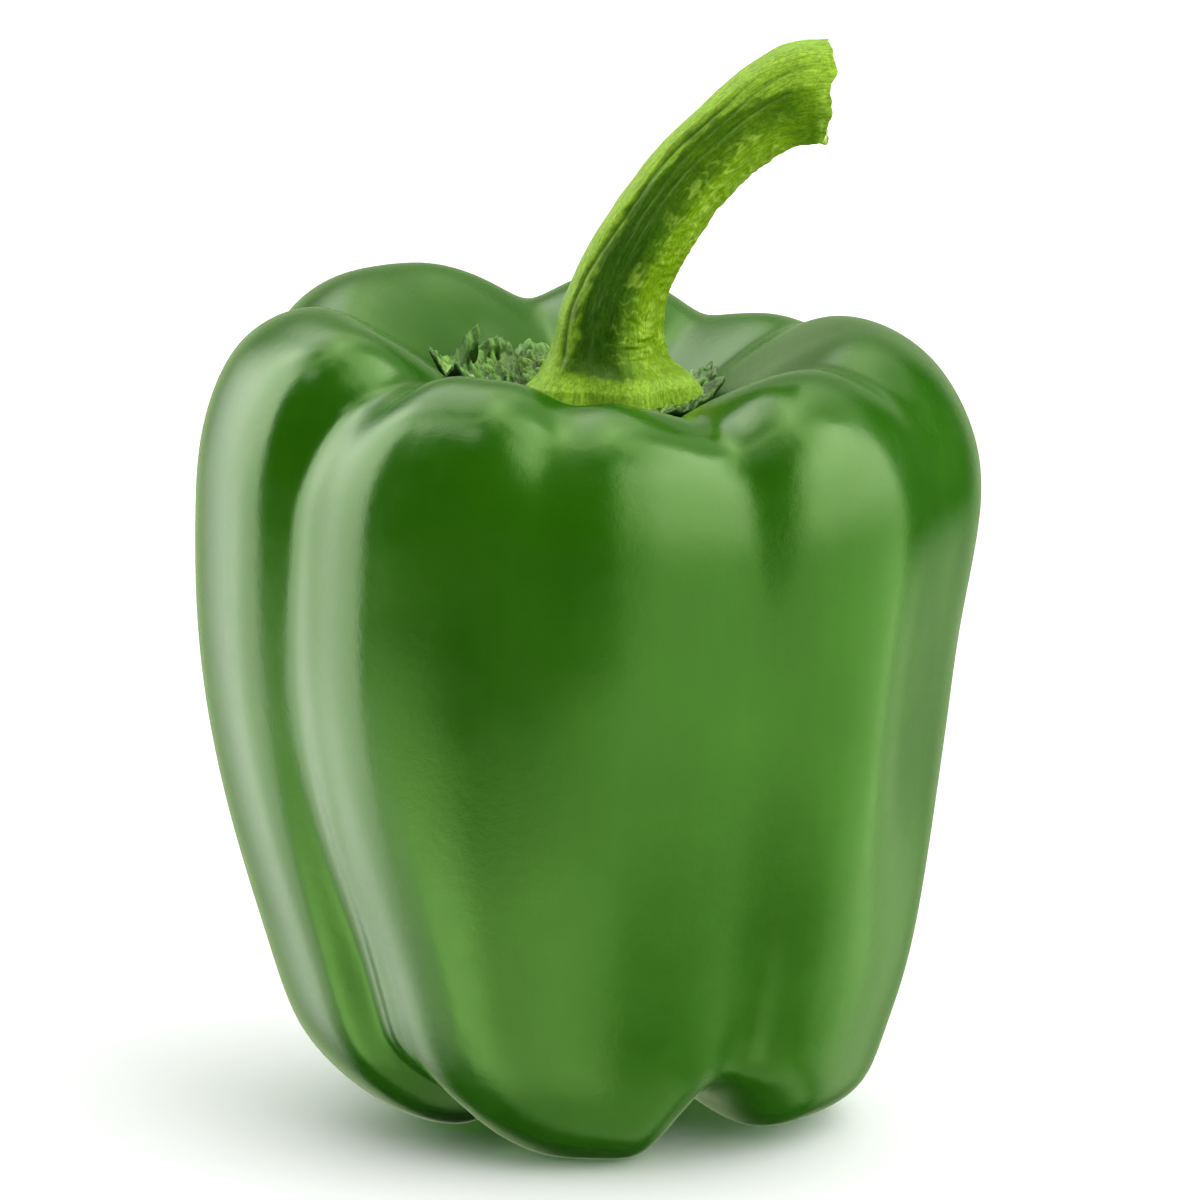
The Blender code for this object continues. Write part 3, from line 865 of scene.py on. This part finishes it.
def add_camera():
    data = bpy.data.cameras.new("camera")
    data.lens = CAMERA_LENS
    data.sensor_width = CAMERA_SENSOR
    camera = bpy.data.objects.new("camera", data)
    lean = math.radians(CAMERA_ELEVATION)
    back = Vector((0, -math.cos(lean), math.sin(lean)))
    camera.location = CAMERA_TARGET + back * CAMERA_DISTANCE
    camera.rotation_euler = (math.pi / 2 - lean, 0, 0)
    bpy.context.scene.collection.objects.link(camera)
    bpy.context.scene.camera = camera


def add_floor():
    mesh = bpy.data.meshes.new("floor")
    signs = ((-1, -1), (1, -1), (1, 1), (-1, 1))
    corners = [(FLOOR_REACH * x, FLOOR_REACH * y, 0) for x, y in signs]
    mesh.from_pydata(corners, [], [(0, 1, 2, 3)])
    floor = bpy.data.objects.new("floor", mesh)
    floor.location.z = -FLOOR_DROP
    mesh.materials.append(floor_material())
    bpy.context.scene.collection.objects.link(floor)
    floor.visible_glossy = False


def panel_share(nodes, direction, elevation, sides, side_soft, ends, end_soft):
    """How far a direction lies in a soft panel, from 0 to 1."""
    turn = -math.radians((sides[0] + sides[1]) / 2)
    inputs = {"Vector": direction, "Angle": turn}
    turned = nodes.add("ShaderNodeVectorRotate", {"rotation_type": "Z_AXIS"}, inputs).outputs[0]
    axes = nodes.add("ShaderNodeSeparateXYZ", None, {"Vector": turned}).outputs
    azimuth = nodes.math("DEGREES", nodes.math("ARCTAN2", axes["Y"], axes["X"]))
    half = (sides[1] - sides[0]) / 2
    edges = (
        nodes.ramp(azimuth, -half - side_soft[0] / 2, -half + side_soft[0] / 2),
        nodes.ramp(azimuth, half - side_soft[1] / 2, half + side_soft[1] / 2, 1, 0),
        nodes.ramp(elevation, ends[0] - end_soft[0] / 2, ends[0] + end_soft[0] / 2),
        nodes.ramp(elevation, ends[1] - end_soft[1] / 2, ends[1] + end_soft[1] / 2, 1, 0),
    )
    share = edges[0]
    for edge in edges[1:]:
        share = nodes.math("MULTIPLY", share, edge)
    return share


def panel_light(nodes, direction, elevation, panels, base):
    """A background with this base brightness and the panels added to it."""
    total = nodes.add("ShaderNodeCombineXYZ", None, {"X": base, "Y": base, "Z": base}).outputs[0]
    for sides, side_soft, ends, end_soft, brightness, colour in panels:
        share = panel_share(nodes, direction, elevation, sides, side_soft, ends, end_soft)
        scaled = nodes.add("ShaderNodeVectorMath", {"operation": "MULTIPLY_ADD"})
        nodes.put(scaled.inputs[0], share)
        nodes.put(scaled.inputs[1], tuple(brightness * channel for channel in colour))
        nodes.put(scaled.inputs[2], total)
        total = scaled.outputs[0]
    return nodes.add("ShaderNodeBackground", None, {"Color": total, "Strength": 1.0}).outputs[0]


def add_light():
    """A light tent: even light on everything, and panels that only the gloss shows."""
    bpy.context.scene.view_settings.view_transform = "Standard"
    world = bpy.data.worlds.new("tent")
    bpy.context.scene.world = world
    world.use_nodes = True
    world.cycles.sampling_method = "NONE"
    tree = world.node_tree
    tree.nodes.clear()
    nodes = Nodes(tree)
    direction = nodes.add("ShaderNodeTexCoord").outputs["Generated"]
    height = nodes.add("ShaderNodeSeparateXYZ", None, {"Vector": direction}).outputs["Z"]
    elevation = nodes.math("DEGREES", nodes.math("ARCSINE", height))
    panels = panel_light(nodes, direction, elevation, PANELS, MIRRORED_BASE)
    even = panel_light(nodes, direction, elevation, EVEN_PANELS, EVEN_BASE)
    seen = nodes.add("ShaderNodeBackground", None, {"Color": (1, 1, 1, 1), "Strength": 1.0}).outputs[0]
    ray = nodes.add("ShaderNodeLightPath").outputs
    lit = nodes.add("ShaderNodeMixShader", None, {0: ray["Is Glossy Ray"], 1: even, 2: panels}).outputs[0]
    mixed = nodes.add("ShaderNodeMixShader", None, {0: ray["Is Camera Ray"], 1: lit, 2: seen}).outputs[0]
    nodes.add("ShaderNodeOutputWorld", None, {"Surface": mixed})


skin = fine_copy("fruit", "skin", 2)
narrow_grooves(skin)
fill_flank(skin)
finish_piece(skin, "fruit", skin_material())
finish_piece(calyx_piece(), "calyx", calyx_material())
finish_piece(stem_piece(), "stem", stem_material())
add_floor()
add_light()
add_camera()
